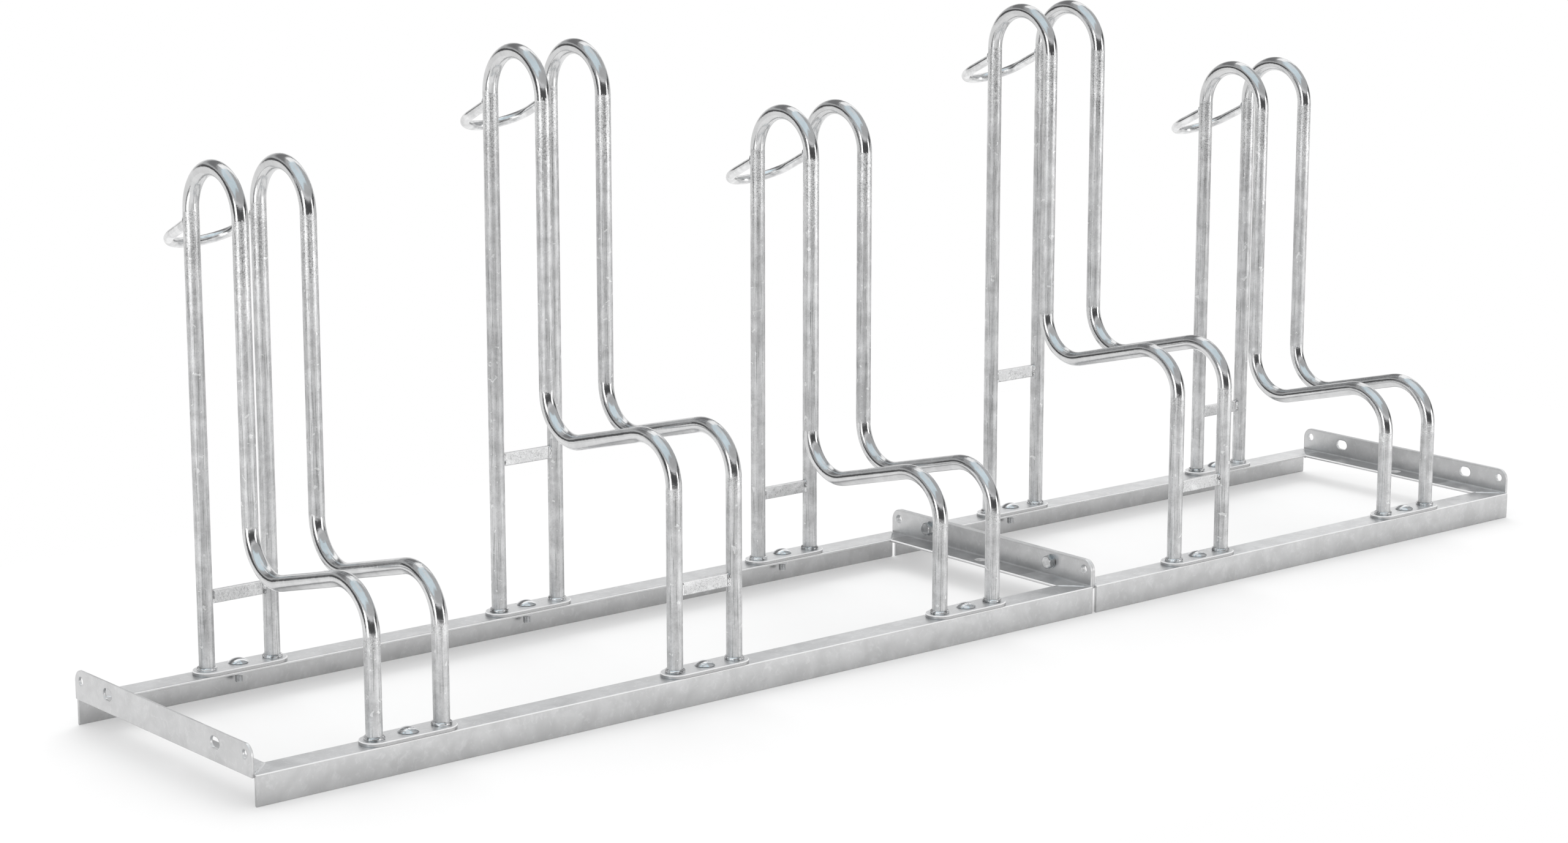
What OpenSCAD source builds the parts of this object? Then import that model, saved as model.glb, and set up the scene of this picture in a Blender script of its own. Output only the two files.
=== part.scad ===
// Floor bike rack of galvanised steel, for wheels at two heights.
// A long unit with three wheel places and a short unit with two are bolted end to end.
// X runs along the rails, Y to the back, Z up from the floor.
// The origin is on the floor, midway along the rack and midway through its depth.

/* [Rack] */
// Distance between neighbouring wheel places
pitch = 350; // [300:5:450]
// Depth of the base, over the outer faces of its two rails
base_d = 330; // [300:5:400]

/* [Angle bars] */
// Width of the rails' legs, and of the end bars' lying leg
angle_leg = 30; // [28:1:34]
// Thickness of the angle bars
angle_t = 3; // [2.5:0.5:4]
// Radius in the inner corner of the angle bars
angle_root_r = 2; // [1:0.5:3]
// Radius on the outer edges of the angle bars
angle_edge_r = 0.8; // [0.4:0.1:1]
// Radius on the inner edges of their legs' tips
angle_toe_r = 1.6; // [0.5:0.1:1.8]
// Height of the end bars' standing leg
end_leg = 31; // [28:1:40]
// Radius on the upper corners of the standing legs
end_corner_r = 12.5; // [6:0.5:16]

/* [Holes in the end bars] */
// Length of the coupling slots
slot_l = 17; // [12:0.5:24]
// Width of the coupling slots
slot_w = 11.5; // [9:0.5:11.5]
// Distance between the two coupling slots of an end bar
slot_spacing = 198; // [120:2:230]
// Height of the coupling slots' centres above the lying leg
slot_rise = 15.5; // [13.5:0.5:16]
// Diameter of the round holes near the ends of the standing legs
end_hole_d = 9; // [5:0.5:10]
// Distance of those holes from the ends of the standing legs
end_hole_in = 11; // [9:0.5:20]
// Height of those holes' centres above the lying leg
end_hole_rise = 17; // [12:0.5:18]
// Diameter of the floor anchor holes in the lying legs
anchor_hole_d = 12.5; // [8:0.5:14]
// Distance of the floor anchor holes from the rack's ends
anchor_hole_in = 15; // [14:0.5:18]

/* [Stands] */
// Outer diameter of the tubes
tube_d = 16; // [12:0.5:18]
// Wall of the tubes
tube_t = 2; // [1:0.5:3]
// Distance between the centre lines of a stand's two tubes
tube_spacing = 74.5; // [60:0.5:90]
// Radius of the tubes' bends, on their centre line
bend_r = 45.5; // [35:0.5:48]
// Height of the low stands over everything
low_h = 544; // [450:1:580]
// Height of the high stands over everything
high_h = 632; // [590:1:700]
// Slope of the run that the front wheel leans over, in degrees
run_slope = 14.1; // [0:0.1:20]
// Height of the middle of that run on a low stand
run_mid_h = 163; // [150:1:200]

/* [Tie bars] */
// Height of the flat bars that tie a stand's tubes together
tie_h = 13.5; // [8:0.5:20]
// Thickness of the tie bars
tie_t = 4; // [3:0.5:6]
// Height of the middle of a low stand's back tie bar
back_tie_z = 107; // [80:1:160]
// Height of the middle of the front tie bar that the high stands have
front_tie_z = 116.5; // [80:0.5:150]

/* [Feet] */
// Length of the foot plates
foot_l = 104; // [96:1:130]
// Thickness of the foot plates
foot_t = 4; // [3:0.5:6]
// Radius on the upper edge of the foot plates
foot_edge_r = 0.8; // [0.4:0.1:1.5]

/* [Lock loops] */
// Diameter of the round bar that the loops are bent from
loop_d = 10; // [8:0.5:12]
// Length of a loop from the tubes' centre lines to the middle of its end, along its slope
loop_reach = 78; // [60:1:110]
// Slope of the loops down to the back, in degrees
loop_slope = 26; // [0:1:40]
// Drop of a loop's root below the top of the tubes' centre lines
loop_drop = 54.5; // [48:0.5:150]

/* [Fasteners] */
// Thread diameter of all bolts
thread_d = 8; // [6:0.5:8]
// Diameter of the bolt holes in the rails
bolt_hole_d = 9; // [8.5:0.5:10]
// Width across the flats of all nuts and heads
nut_w = 13; // [11:0.5:14]
// Diameter of the carriage bolts' domed heads
dome_d = 20.6; // [16:0.2:22]
// Height of the domed heads
dome_h = 4.9; // [3:0.1:6]
// Length of the carriage bolts under their heads
carriage_l = 20; // [16:1:24]
// Height of the nuts under the feet
carriage_nut_h = 5; // [4:0.5:6.5]
// Length of the coupling bolts under their heads
coupling_l = 20; // [19:1:30]
// Height of the coupling bolts' hexagon heads
hex_head_h = 5.3; // [4:0.1:7]
// Height of the nuts on the coupling bolts
coupling_nut_h = 6.5; // [5:0.1:8]
// Diameter of the coupling washers
washer_d = 16; // [14:0.5:20]
// Thickness of the coupling washers
washer_t = 1.6; // [1:0.1:2]

/* [Welds] */
// Size of the round weld beads at the tubes' feet
foot_weld_r = 2.1; // [1.5:0.1:3]
// Height of those beads' middle above the foot
foot_weld_rise = 1.4; // [0:0.1:1.4]
// Size of the weld beads at the ends of the tie bars
tie_weld_r = 2.2; // [1:0.1:3]
// Thickness of the weld beads round the roots of the lock loops
loop_weld_t = 1.2; // [0.6:0.1:3]
// Width of the weld beads on the mitred corners of the base
mitre_weld_w = 4; // [2:0.5:6]
// Height of those beads
mitre_weld_h = 0.8; // [0.3:0.1:1.5]

/* [Hidden] */
$fn = 96;
// Wheel places of the long unit, of the short unit, and of both together
long_places = 3;
short_places = 2;
places = long_places + short_places;
// Extra depth of every cut past the faces that it goes through
overrun = 1;
// Clearance all round the carriage bolts' square necks, and round the bolts in the washers
neck_gap = 0.2;
washer_gap = 0.2;
// Clearance between the back nuts and the round root of their rail
nut_gap = 0.1;
// Chamfer on the corners of the nuts and hexagon heads
hex_chamfer = 0.9;

// Lengths of the two units, and where the rack and the second unit start
long_l = long_places * pitch;
short_l = short_places * pitch;
rack_l = long_l + short_l;
rack_left = -rack_l / 2;
joint_x = rack_left + long_l;

// Depth over everything, from the front rail to the back of the lock loops
flange_mid = angle_leg / 2;
back_leg_in = base_d - flange_mid;
rack_d = back_leg_in + loop_reach * cos(loop_slope) + loop_d / 2;
front_y = -rack_d / 2;
base_mid_y = front_y + base_d / 2;

// Distance of the feet's bolts from the outer faces of the rails: in the middle of the front rail's
// flange, and on the back rail as near to its standing leg as the nuts can go
front_bolt_in = flange_mid;
back_bolt_in = angle_t + angle_root_r + nut_gap + nut_w / 2;
back_bolt_y = front_y + base_d - back_bolt_in;

// Heights of the rails' top, of the feet's top and of the holes in the standing legs
rail_top = angle_leg;
end_z = rail_top - angle_t;
foot_top = rail_top + foot_t;
slot_z = rail_top + slot_rise;
end_hole_z = rail_top + end_hole_rise;
end_l = base_d - 2 * angle_t;

// Places of a stand's legs through the depth: front leg, front of the arch, back leg
front_leg_y = front_y + flange_mid;
back_leg_y = front_y + back_leg_in;
arch_y = back_leg_y - 2 * bend_r;

// The run between the two S-bends: its span, the turn of each bend and what the turn takes up
run_span = arch_y - front_leg_y;
turn = 90 + run_slope;
turn_take = bend_r * tan(turn / 2);
run_l = run_span / cos(run_slope) - 2 * turn_take;
run_drop = run_span / 2 * tan(run_slope);

// Feet as wide as the flange that they stand on, with fully rounded ends
foot_w = angle_leg;
foot_flat_l = foot_l - foot_w;
neck_w = thread_d;
loop_bend_r = tube_spacing / 2;
loop_leg_l = loop_reach - loop_bend_r;
dome_r = (dome_d * dome_d / 4 + dome_h * dome_h) / (2 * dome_h);
mitre_weld_r = (mitre_weld_w * mitre_weld_w / 4 + mitre_weld_h * mitre_weld_h) / (2 * mitre_weld_h);

STANDS = [1:places];
HIGH_STANDS = [for (n = STANDS) if (is_high(n)) n];

// Middle of stand n along the rack, whether it is a high one, how much higher it is than a low one,
// and its arch's centre height
function stand_x(n) = rack_left + (n - 0.5) * pitch;
function is_high(n) = n % 2 == 0;
function stand_lift(n) = is_high(n) ? high_h - low_h : 0;
function arch_z(n) = low_h + stand_lift(n) - tube_d / 2 - bend_r;

// Shapes that repeat

// The shape between a square corner at the origin and the arc that rounds it
module spandrel(r, past) {
    difference() {
        translate([-past, -past]) square(r + past);
        translate([r, r]) circle(r = r);
    }
}

// Section of an angle bar with its heel at the origin and its legs along X and Y
module angle_section(across, up) {
    difference() {
        union() {
            square([across, angle_t]);
            square([angle_t, up]);
            translate([angle_t, angle_t]) spandrel(angle_root_r, angle_t / 2);
        }
        spandrel(angle_edge_r, overrun);
        translate([across, 0]) rotate(90) spandrel(angle_edge_r, overrun);
        translate([across, angle_t]) rotate(180) spandrel(angle_toe_r, overrun);
        translate([0, up]) rotate(270) spandrel(angle_edge_r, overrun);
        translate([angle_t, up]) rotate(180) spandrel(angle_toe_r, overrun);
    }
}

// Long hole with round ends along X
module slot_outline(length, width) {
    square([length - width, width], center = true);
    for (side = [-1, 1])
        translate([side * (length - width) / 2, 0]) circle(d = width);
}

// Turns a shape that is drawn in X and Y into the plane of Y and Z, its thickness along X
module stand_plane() {
    rotate([90, 0, 90]) children();
}

// Bar that starts upwards at the origin and bends in the plane of X and Z
// Each step is a straight length and the turn that follows it, positive towards X
module bent_bar(steps, r, i = 0) {
    length = steps[i][0];
    turn = steps[i][1];
    side = sign(turn);
    linear_extrude(length) children();
    if (i < len(steps) - 1) translate([side * r, 0, length]) {
        rotate([90, 0, 0]) rotate_extrude(angle = abs(turn), start = side > 0 ? 180 - turn : 0)
            translate([r, 0]) children();
        rotate([0, turn, 0]) translate([-side * r, 0, 0]) bent_bar(steps, r, i + 1) children();
    }
}

// Hexagon with chamfered corners on its outer end, along Z
module hexagon(width, height) {
    corner_r = width / sqrt(3);
    intersection() {
        cylinder(r = corner_r, h = height, $fn = 6);
        union() {
            cylinder(r = corner_r + overrun, h = height - hex_chamfer);
            translate([0, 0, height - hex_chamfer])
                cylinder(r1 = corner_r + hex_chamfer / 2, r2 = width / 2 - hex_chamfer / 2, h = hex_chamfer);
        }
    }
}

// Base: one unit stands with its left end at x = 0 and the middle of its depth at y = 0

// Cuts both ends of a rail's flange to the mitre, or of an end bar's when swapped
module mitre_cut(swapped) {
    corner = angle_t;
    tip = angle_leg + overrun;
    outline = [[corner, corner], [tip, tip], [corner - overrun, tip], [corner - overrun, corner]];
    linear_extrude(rail_top + end_leg)
        polygon([for (p = outline) swapped ? [p.y, p.x] : p]);
}

module front_rail(unit_l, unit_places, bolt_in = front_bolt_in) {
    translate([0, -base_d / 2, 0]) difference() {
        translate([angle_t, 0, rail_top]) mirror([0, 0, 1]) stand_plane()
            linear_extrude(unit_l - 2 * angle_t) angle_section(angle_leg, angle_leg);
        mitre_cut(false);
        translate([unit_l, 0, 0]) mirror([1, 0, 0]) mitre_cut(false);
        for (i = [1:unit_places])
            translate([(i - 0.5) * pitch, bolt_in, end_z - overrun])
                cylinder(d = bolt_hole_d, h = angle_t + 2 * overrun);
    }
}

module back_rail(unit_l, unit_places) {
    mirror([0, 1, 0]) front_rail(unit_l, unit_places, back_bolt_in);
}

// What both halves of an end bar lose: a mitre, a rounded upper corner, a slot and a round hole
module end_angle_half_cuts() {
    translate([0, -base_d / 2, 0]) mitre_cut(true);
    translate([-overrun, 0, 0]) {
        translate([0, -end_l / 2, end_z + end_leg]) mirror([0, 0, 1]) stand_plane()
            linear_extrude(angle_t + 2 * overrun) spandrel(end_corner_r, overrun);
        translate([0, -slot_spacing / 2, slot_z]) stand_plane()
            linear_extrude(angle_t + 2 * overrun) slot_outline(slot_l, slot_w);
        translate([0, end_hole_in - end_l / 2, end_hole_z]) stand_plane()
            cylinder(d = end_hole_d, h = angle_t + 2 * overrun);
    }
}

module left_end_angle() {
    difference() {
        translate([0, 0, end_z]) rotate([90, 0, 0])
            linear_extrude(end_l, center = true) angle_section(angle_leg, end_leg);
        end_angle_half_cuts();
        mirror([0, 1, 0]) end_angle_half_cuts();
        translate([anchor_hole_in, 0, end_z - overrun])
            cylinder(d = anchor_hole_d, h = angle_t + 2 * overrun);
    }
}

module right_end_angle(unit_l) {
    translate([unit_l, 0, 0]) mirror([1, 0, 0]) left_end_angle();
}

// Weld beads on the two front mitres, mirrored for the two back ones
module mitre_welds(unit_l) {
    bead_from = angle_t + angle_root_r;
    bead_l = (angle_leg - angle_edge_r - bead_from) * sqrt(2);
    for (back = [0, 1], right = [0, 1])
        mirror([0, back, 0]) translate([right * unit_l, -base_d / 2, 0]) mirror([right, 0, 0])
            intersection() {
                translate([bead_from, bead_from, rail_top + mitre_weld_h - mitre_weld_r])
                    rotate([0, 90, 45]) cylinder(r = mitre_weld_r, h = bead_l);
                translate([0, 0, rail_top]) cube([angle_leg, angle_leg, mitre_weld_h + overrun]);
            }
}

// Places what is drawn for one unit at that unit's left end
module at_unit(left) {
    translate([left, base_mid_y, 0]) children();
}

// Stands: each is drawn at its own middle along X, in the rack's own Y and Z

module tube_section() {
    difference() {
        circle(d = tube_d);
        circle(d = tube_d - 2 * tube_t);
    }
}

// One bent tube: front leg, S-bend, run, S-bend, front of the arch, arch and back leg
module stand_tube(n, side) {
    run_z = run_mid_h + stand_lift(n);
    steps = [
        [run_z + run_drop - turn_take - foot_top, turn],
        [run_l, -turn],
        [arch_z(n) - run_z + run_drop - turn_take, 180],
        [arch_z(n) - foot_top, 0]
    ];
    translate([side * tube_spacing / 2, front_leg_y, foot_top]) rotate([0, 0, 90])
        bent_bar(steps, bend_r) tube_section();
}

// Half of a foot plate's section, from its middle to its rounded upper edge
module foot_half_section() {
    difference() {
        square([foot_w / 2, foot_t]);
        translate([foot_w / 2, foot_t]) rotate(180) spandrel(foot_edge_r, overrun);
    }
}

// Foot plate with round ends and the square hole that holds the bolt's neck
module foot(leg_y, bolt_y) {
    hole_w = neck_w + 2 * neck_gap;
    translate([0, leg_y, rail_top]) difference() {
        union() {
            translate([-foot_flat_l / 2, 0, 0]) stand_plane() linear_extrude(foot_flat_l) {
                foot_half_section();
                mirror([1, 0]) foot_half_section();
            }
            for (side = [0, 1])
                mirror([side, 0, 0]) translate([foot_flat_l / 2, 0, 0])
                    rotate_extrude(angle = 180, start = -90) foot_half_section();
        }
        translate([-hole_w / 2, bolt_y - leg_y - hole_w / 2, -overrun])
            cube([hole_w, hole_w, foot_t + 2 * overrun]);
    }
}

// The outsides of a stand's two tubes at one leg, to fit bars and beads against
module leg_outsides(leg_y, low, high) {
    for (side = [-1, 1])
        translate([side * tube_spacing / 2, leg_y, low]) cylinder(d = tube_d, h = high - low);
}

// Flat bar between the two tubes at one leg, cut to their round sides
module tie(leg_y, mid_z) {
    low = mid_z - tie_h / 2;
    difference() {
        translate([-tube_spacing / 2, leg_y - tie_t / 2, low]) cube([tube_spacing, tie_t, tie_h]);
        leg_outsides(leg_y, low - overrun, low + tie_h + overrun);
    }
}

// Puts what is drawn along X in the loop's own sloping plane, from the tubes' centre lines
module loop_frame(n) {
    translate([0, back_leg_y, arch_z(n) + bend_r - loop_drop]) rotate([-loop_slope, 0, 0]) children();
}

// U-shaped round bar behind the arch, for a lock to go through
module lock_loop(n) {
    root_z = arch_z(n) + bend_r - loop_drop;
    difference() {
        loop_frame(n) translate([-loop_bend_r, 0, 0]) rotate([-90, 0, 0])
            bent_bar([[loop_leg_l, 180], [loop_leg_l, 0]], loop_bend_r) circle(d = loop_d);
        leg_outsides(back_leg_y, root_z - tube_d, root_z + tube_d);
    }
}

// Round beads where the tubes stand on a foot
module foot_beads(leg_y) {
    for (side = [-1, 1])
        translate([side * tube_spacing / 2, leg_y, foot_top])
            rotate_extrude() translate([tube_d / 2, 0]) intersection() {
                translate([0, foot_weld_rise]) circle(r = foot_weld_r);
                square(foot_weld_rise + foot_weld_r);
            }
}

// Upright beads in the four corners between a tie bar and the tubes
module tie_beads(leg_y, mid_z) {
    reach = sqrt(tube_d * tube_d - tie_t * tie_t) / 2;
    difference() {
        for (side = [-1, 1], face = [-1, 1])
            translate([side * (tube_spacing / 2 - reach), leg_y + face * tie_t / 2, mid_z - tie_h / 2])
                cylinder(r = tie_weld_r, h = tie_h);
        translate([-tube_spacing / 2, leg_y - tie_t / 2, mid_z - tie_h / 2 - overrun])
            cube([tube_spacing, tie_t, tie_h + 2 * overrun]);
        leg_outsides(leg_y, mid_z - tie_h, mid_z + tie_h);
    }
}

// Beads round the roots of a lock loop
module loop_beads(n) {
    root_z = arch_z(n) + bend_r - loop_drop;
    difference() {
        loop_frame(n) for (side = [-1, 1])
            translate([side * loop_bend_r, tube_d / 2, 0]) sphere(d = loop_d + 2 * loop_weld_t);
        loop_frame(n) for (side = [-1, 1])
            translate([side * loop_bend_r, 0, 0]) rotate([-90, 0, 0])
                cylinder(d = loop_d, h = loop_leg_l);
        leg_outsides(back_leg_y, root_z - 2 * tube_d, root_z + 2 * tube_d);
    }
}

module stand_welds(n) {
    foot_beads(front_leg_y);
    foot_beads(back_leg_y);
    tie_beads(back_leg_y, back_tie_z + stand_lift(n));
    if (is_high(n)) tie_beads(front_leg_y, front_tie_z);
    loop_beads(n);
}

// Fasteners

// Domed bolt through each foot, with its square neck in the plate
module carriage_bolt() {
    translate([0, 0, foot_top]) {
        rotate_extrude() intersection() {
            translate([0, dome_h - dome_r]) circle(r = dome_r);
            square([dome_d / 2, dome_h]);
        }
        translate([-neck_w / 2, -neck_w / 2, -foot_t]) cube([neck_w, neck_w, foot_t]);
        translate([0, 0, -carriage_l]) cylinder(d = thread_d, h = carriage_l);
    }
}

module nut(height) {
    difference() {
        hexagon(nut_w, height);
        translate([0, 0, -overrun]) cylinder(d = thread_d, h = height + 2 * overrun);
    }
}

module at_feet() {
    for (n = STANDS, bolt_y = [front_leg_y, back_bolt_y])
        translate([stand_x(n), bolt_y, 0]) children();
}

// Places what is drawn along Z at the two slots of the joint, turned to run along X from the joint
module at_coupling() {
    for (side = [-1, 1])
        translate([joint_x, base_mid_y + side * slot_spacing / 2, slot_z]) rotate([0, 90, 0]) children();
}

module coupling_bolt() {
    under_head = angle_t + washer_t;
    translate([0, 0, -under_head]) mirror([0, 0, 1]) hexagon(nut_w, hex_head_h);
    translate([0, 0, -under_head]) cylinder(d = thread_d, h = coupling_l);
}

module washer() {
    difference() {
        cylinder(d = washer_d, h = washer_t);
        translate([0, 0, -overrun])
            cylinder(d = thread_d + 2 * washer_gap, h = washer_t + 2 * overrun);
    }
}

// Pieces as they are named

color("silver") at_unit(rack_left) front_rail(long_l, long_places);  // long_front_rail
color("silver") at_unit(rack_left) back_rail(long_l, long_places);  // long_back_rail
color("silver") at_unit(rack_left) left_end_angle();  // long_left_end_angle
color("silver") at_unit(rack_left) right_end_angle(long_l);  // long_right_end_angle
color("silver") at_unit(joint_x) front_rail(short_l, short_places);  // short_front_rail
color("silver") at_unit(joint_x) back_rail(short_l, short_places);  // short_back_rail
color("silver") at_unit(joint_x) left_end_angle();  // short_left_end_angle
color("silver") at_unit(joint_x) right_end_angle(short_l);  // short_right_end_angle
for (n = STANDS) {
    color("lightgray") translate([stand_x(n), 0, 0]) stand_tube(n, -1);
    color("lightgray") translate([stand_x(n), 0, 0]) stand_tube(n, 1);
    color("gainsboro") translate([stand_x(n), 0, 0]) foot(front_leg_y, front_leg_y);
    color("gainsboro") translate([stand_x(n), 0, 0]) foot(back_leg_y, back_bolt_y);
    color("silver") translate([stand_x(n), 0, 0]) tie(back_leg_y, back_tie_z + stand_lift(n));
    color("lightgray") translate([stand_x(n), 0, 0]) lock_loop(n);
    color("slategray") translate([stand_x(n), 0, 0]) stand_welds(n);
}
for (n = HIGH_STANDS) {
    color("silver") translate([stand_x(n), 0, 0]) tie(front_leg_y, front_tie_z);
}
union() {  // base_welds
    color("slategray") at_unit(rack_left) mitre_welds(long_l);
    color("slategray") at_unit(joint_x) mitre_welds(short_l);
}
color("whitesmoke") at_feet() carriage_bolt();  // carriage_bolts
color("whitesmoke") at_feet() translate([0, 0, end_z]) mirror([0, 0, 1]) nut(carriage_nut_h);  // carriage_nuts
color("whitesmoke") at_coupling() coupling_bolt();  // coupling_bolts
color("whitesmoke") at_coupling() {  // coupling_washers
        translate([0, 0, angle_t]) washer();
        translate([0, 0, -angle_t - washer_t]) washer();
    }
color("whitesmoke") at_coupling() translate([0, 0, angle_t + washer_t]) nut(coupling_nut_h);  // coupling_nuts
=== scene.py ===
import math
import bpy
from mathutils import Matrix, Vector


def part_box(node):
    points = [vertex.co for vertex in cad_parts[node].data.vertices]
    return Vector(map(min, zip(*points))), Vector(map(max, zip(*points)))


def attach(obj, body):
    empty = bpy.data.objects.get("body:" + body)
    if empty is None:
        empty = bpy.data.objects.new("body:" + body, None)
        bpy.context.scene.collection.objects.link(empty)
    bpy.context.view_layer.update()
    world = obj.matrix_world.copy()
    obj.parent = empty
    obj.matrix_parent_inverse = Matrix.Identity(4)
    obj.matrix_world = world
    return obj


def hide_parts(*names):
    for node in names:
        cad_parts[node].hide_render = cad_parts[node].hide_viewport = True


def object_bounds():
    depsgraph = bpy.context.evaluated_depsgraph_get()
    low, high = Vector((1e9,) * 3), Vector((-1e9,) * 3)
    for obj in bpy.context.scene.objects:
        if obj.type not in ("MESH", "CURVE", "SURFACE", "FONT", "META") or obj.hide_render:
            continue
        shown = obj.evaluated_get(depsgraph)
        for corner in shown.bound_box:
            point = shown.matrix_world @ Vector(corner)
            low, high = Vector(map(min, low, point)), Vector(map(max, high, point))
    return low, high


bl_info = {
    "name": "Floor Bike Rack",
    "version": (1, 0, 0),
    "blender": (4, 5, 0),
    "location": "View3D > Sidebar > Bike Rack",
    "description": "Dresses a galvanised floor rack with its finishes, weld beads and threaded bolts",
    "category": "Add Mesh",
}

import bmesh
import bpy
from bpy.props import FloatProperty, FloatVectorProperty, PointerProperty
from mathutils import Vector

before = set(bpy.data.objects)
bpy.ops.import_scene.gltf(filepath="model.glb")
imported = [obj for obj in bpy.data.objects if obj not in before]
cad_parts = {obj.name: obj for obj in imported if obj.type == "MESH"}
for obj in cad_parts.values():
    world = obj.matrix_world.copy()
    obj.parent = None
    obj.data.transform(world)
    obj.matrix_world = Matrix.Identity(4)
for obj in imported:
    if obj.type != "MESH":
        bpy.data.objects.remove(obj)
cad_low, cad_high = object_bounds()

MM = 0.001
BODY = "root"
UP = Vector((0, 0, 1))
BACKWARD = Vector((0, 1, 0))
SQUARE = ((-1, -1), (1, -1), (1, 1), (-1, 1))
PLACES = 5
STANDS = range(1, PLACES + 1)
HIGH_STANDS = STANDS[1::2]


def middle(node):
    """Middle of a CAD node's box."""
    low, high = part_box(node)
    return (low + high) / 2


# Sizes that the pieces share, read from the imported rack
TUBE_LOW, TUBE_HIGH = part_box("stand1_left_tube")
TUBE_R = (TUBE_HIGH.x - TUBE_LOW.x) / 2
FOOT_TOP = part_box("stand1_front_foot")[1].z
FRONT_LEG_Y = middle("stand1_front_foot").y
BACK_LEG_Y = middle("stand1_back_foot").y
ARCH_TOP = {n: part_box(f"stand{n}_left_tube")[1].z for n in STANDS}
HIGH_LIFT = ARCH_TOP[2] - ARCH_TOP[1]
TUBE_X = {(n, side): middle(f"stand{n}_{side}_tube").x for n in STANDS for side in ("left", "right")}
RAIL_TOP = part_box("long_front_rail")[1].z
RAIL_INNER_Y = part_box("long_back_rail")[0].y

# Bends of the tubes and of the lock loops, as the rack is drawn
BEND_R = 45.5 * MM
RUN_SLOPE = math.radians(14.1)
RUN_MID = 163 * MM
LOOP_R = 5 * MM
LOOP_SLOPE = math.radians(26)
LOOP_ROOT_OVER = LOOP_R * math.cos(LOOP_SLOPE) - TUBE_R * math.tan(LOOP_SLOPE)
ARCH_Y = BACK_LEG_Y - 2 * BEND_R
RUN_DROP = (ARCH_Y - FRONT_LEG_Y) / 2 * math.tan(RUN_SLOPE)
TURN_TAKE = BEND_R * math.tan((math.pi / 2 + RUN_SLOPE) / 2)

# Heights on a low stand: top of the straight front leg, and both ends of the arch's straight legs
FRONT_LEG_TOP = RUN_MID + RUN_DROP - TURN_TAKE
ARCH_LEG_FOOT = RUN_MID - RUN_DROP + TURN_TAKE
ARCH_LEG_TOP = ARCH_TOP[1] - TUBE_R - BEND_R

# Sparkling zinc below the bends: how far it reaches down, where it is full, and what is left elsewhere
SPARKLE_REACH = 170 * MM
FRONT_SPARKLE_REACH = 30 * MM
SPARKLE_FULL = 10 * MM
SPARKLE_LEAST = 0.12
# How far in front of the arch's front leg the run starts to count as that leg
ARCH_LEG_FADE = 7 * MM

# Heights above the rails' top: the inner corner of an end angle, which gets no painted edge highlight,
# and where the painted edge highlights get fainter
CORNER_LOW, CORNER_HIGH, CORNER_END = 0.2 * MM, 6 * MM, 8 * MM
FAINT_HIGHLIGHT_H = 10 * MM
# Width over which the painted light on the rails' tops fades in, from their inner edges outwards
RAIL_TOP_LIGHT_FADE = 4 * MM

# Where the metal mirrors the skylight and the blind: start, full, still full and end along an axis
SKYLIGHT_X = (-0.92, -0.86, 0.3, 0.4)
SKYLIGHT_Y = (-0.62, -0.52, 0.34, 0.42)
SKYLIGHT_Z = (0.5, 0.58)
OVERHEAD_Z = (0.965, 0.985)
BLIND_X = (-0.2, -0.1)
BLIND_Y = (0.28, 0.34, 0.54, 0.6)
BLIND_Z = (0.3, 0.4)

# Fineness of the meshes
SHARP_ANGLE = math.radians(38)
BEAD_STEP = 0.35 * MM
BEAD_SIDES = 10
ROOT_BEAD_SIDES = 8
MITRE_BEAD_SIDES = 24
COLLAR_STEPS = 132
ROOT_STEPS = 84
SHANK_SIDES = 28
STEPS_PER_THREAD = 8
DOME_SIDES = 64
DOME_STEPS = 18
DOME_TIP_R = 0.02 * MM
BEVEL_SAMPLES = 8

# Unevenness of a weld bead: drift of its ripples, slow swelling, and how far its ends taper
RIPPLE_DRIFT = 0.6
SWELL = 0.05
END_TAPER = 0.96

SENSOR_W = 36
# Keeps the floor off the rack's underside
FLOOR_DROP = 0.2 * MM
WHITE = (1, 1, 1)


# Shader trees


class Number:
    """One value in a node tree, which takes part in sums."""

    def __init__(self, tree, socket):
        self.tree = tree
        self.socket = socket

    def __add__(self, other):
        return self.tree.maths("ADD", self, other)

    def __sub__(self, other):
        return self.tree.maths("SUBTRACT", self, other)

    def __rsub__(self, other):
        return self.tree.maths("SUBTRACT", other, self)

    def __mul__(self, other):
        return self.tree.maths("MULTIPLY", self, other)

    def __truediv__(self, other):
        return self.tree.maths("DIVIDE", self, other)

    def __rtruediv__(self, other):
        return self.tree.maths("DIVIDE", other, self)

    def __abs__(self):
        return self.tree.maths("ABSOLUTE", self)

    __radd__ = __add__
    __rmul__ = __mul__

    def root(self):
        return self.tree.maths("SQRT", self)

    def least(self, other):
        return self.tree.maths("MINIMUM", self, other)

    def most(self, other):
        return self.tree.maths("MAXIMUM", self, other)

    def ramp(self, low, high, start=0.0, end=1.0):
        """Goes smoothly from start, where the value is low, to end, where it is high."""
        return self.tree.number("ShaderNodeMapRange", {"interpolation_type": "SMOOTHSTEP"}, {
            "Value": self, "From Min": low, "From Max": high, "To Min": start, "To Max": end})

    def band(self, start, full, still_full, end):
        """Goes smoothly from 0 at start to 1 when full, and back to 0 at the end."""
        return self.ramp(start, full) * self.ramp(still_full, end, 1, 0)


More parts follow.
